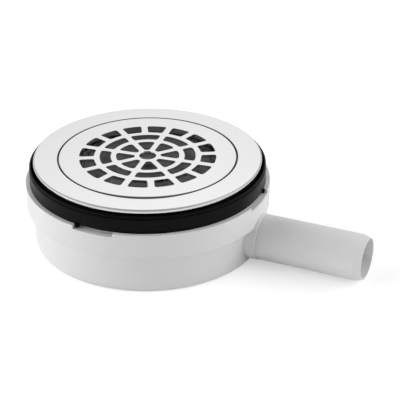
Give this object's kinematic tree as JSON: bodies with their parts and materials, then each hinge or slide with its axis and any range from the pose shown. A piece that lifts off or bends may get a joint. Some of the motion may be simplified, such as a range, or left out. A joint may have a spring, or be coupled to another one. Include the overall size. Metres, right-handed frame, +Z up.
{
  "type": "shower waste",
  "caption": "Low shower waste: chromed ring and slotted grating over a black rubber seal, white bowl with a round weir, dip tube and hair catcher inside, and a side outlet pipe.",
  "frame": {"origin": "centre of the bowl's flat underside", "axes": "+Z up along the axis of the bowl and grating, +X from that axis along the outlet pipe towards its open end"},
  "size_m": [0.171, 0.118, 0.0424],
  "materials": {
    "chrome_plate": "polished chrome plate",
    "white_plastic": "moulded, satin gloss",
    "white_pipe": "extruded, satin gloss",
    "black_rubber": "smooth moulded rubber",
    "seal_rubber": "O-ring rubber",
    "grey_plastic": "moulded, gloss",
    "screw_steel": "stainless",
    "insert_brass": "turned"
  },
  "bodies": {
    "root": {"grating": "chrome_plate", "flange_ring": "chrome_plate", "clamp_screw_1": "screw_steel", "clamp_screw_2": "screw_steel", "clamp_screw_3": "screw_steel", "clamp_screw_4": "screw_steel", "upper_seal": "black_rubber", "main_seal": "black_rubber", "cover_ring": "white_plastic", "screw_insert_1": "insert_brass", "screw_insert_2": "insert_brass", "screw_insert_3": "insert_brass", "screw_insert_4": "insert_brass", "cover_seal": "seal_rubber", "trap_body": "white_plastic", "outlet_pipe": "white_pipe", "dip_tube": "grey_plastic", "dip_tube_seal": "seal_rubber", "hair_catcher": "grey_plastic"}
  },
  "joints": []
}
